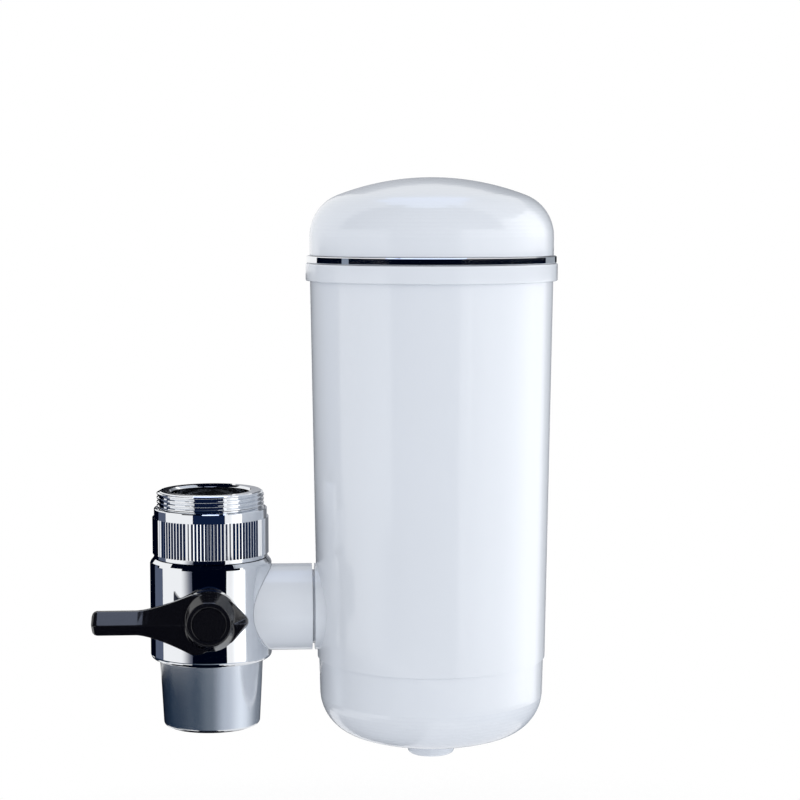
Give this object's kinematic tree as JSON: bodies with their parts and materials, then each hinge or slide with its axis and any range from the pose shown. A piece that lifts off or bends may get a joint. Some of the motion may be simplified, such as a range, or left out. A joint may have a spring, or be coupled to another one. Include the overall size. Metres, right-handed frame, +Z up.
{
  "type": "faucet mount water filter",
  "caption": "Tap-mounted water filter: chromed diverter valve with a coupling nut, black lever and aerator, carrying a white domed filter housing on a side swivel.",
  "frame": {"origin": "on the spout's axis at the top face of the spout adapter, where the tap's spout screws in", "axes": "+Z up along the spout's axis, +X from the diverter valve to the filter, -Y towards the lever"},
  "size_m": [0.1206, 0.0658, 0.1524],
  "materials": {
    "chrome": "polished",
    "white": "gloss",
    "black": "gloss",
    "rubber": "matte",
    "seal": "satin",
    "acetal": "satin",
    "brass": "turned",
    "steel": "drawn",
    "case": "satin",
    "blue": "satin",
    "carbon": "sintered",
    "fleece": "fibrous"
  },
  "bodies": {
    "adapter": {"spout_adapter": "chrome", "spout_gasket": "rubber"},
    "diverter": {"coupling_gasket": "rubber", "nut_retaining_ring": "steel", "diverter_body": "chrome", "outlet_seat_seal": "seal", "filter_seat_seal": "seal", "valve_bonnet": "brass", "aerator_shell": "chrome", "aerator_gasket": "rubber", "aerator_insert": "acetal", "side_nipple": "brass", "side_sleeve": "white", "nipple_o_rings": "rubber", "nipple_clip": "steel"},
    "nut": {"coupling_nut": "chrome"},
    "lever": {"valve_spool": "acetal", "stem_o_ring": "rubber", "lever": "black", "lever_screw": "steel", "lever_cap": "black"},
    "filter": {"filter_housing": "white", "bottom_cap": "white", "cartridge_case": "case", "cartridge_top": "blue", "carbon_block": "carbon", "fleece_discs": "fleece", "cartridge_o_ring": "rubber"},
    "lid_seat": {"trim_ring": "chrome", "lid_o_ring": "rubber"},
    "lid": {"filter_lid": "white"}
  },
  "joints": [
    {"name": "diverter_drop", "type": "slide", "parent": "adapter", "child": "diverter", "axis": [0, 0, -1], "range_m": [0, 0.0055]},
    {"name": "nut_turn", "type": "hinge", "parent": "diverter", "child": "nut", "pos_m": [0, 0, -0.0109], "axis": [0, 0, -1], "range_deg": [0, 1800]},
    {"name": "lever_turn", "type": "hinge", "parent": "diverter", "child": "lever", "pos_m": [0, -0.0163, -0.0312], "axis": [0, -1, 0], "range_deg": [0, 90]},
    {"name": "filter_swivel", "type": "hinge", "parent": "diverter", "child": "filter", "pos_m": [0.027, 0, -0.0312], "axis": [1, 0, 0], "range_deg": [-90, 90]},
    {"name": "lid_lift", "type": "slide", "parent": "filter", "child": "lid_seat", "axis": [0, 0, 1], "range_m": [0, 0.007]},
    {"name": "lid_turn", "type": "hinge", "parent": "lid_seat", "child": "lid", "pos_m": [0.05807, 0, 0.0602], "axis": [0, 0, 1], "range_deg": [0, 1260]}
  ],
  "couplings": [
    {"joint": "nut_turn", "follows": "diverter_drop", "rad_per_m": 5712},
    {"joint": "lid_lift", "follows": "lid_turn", "m_per_rad": 0.00031831}
  ]
}
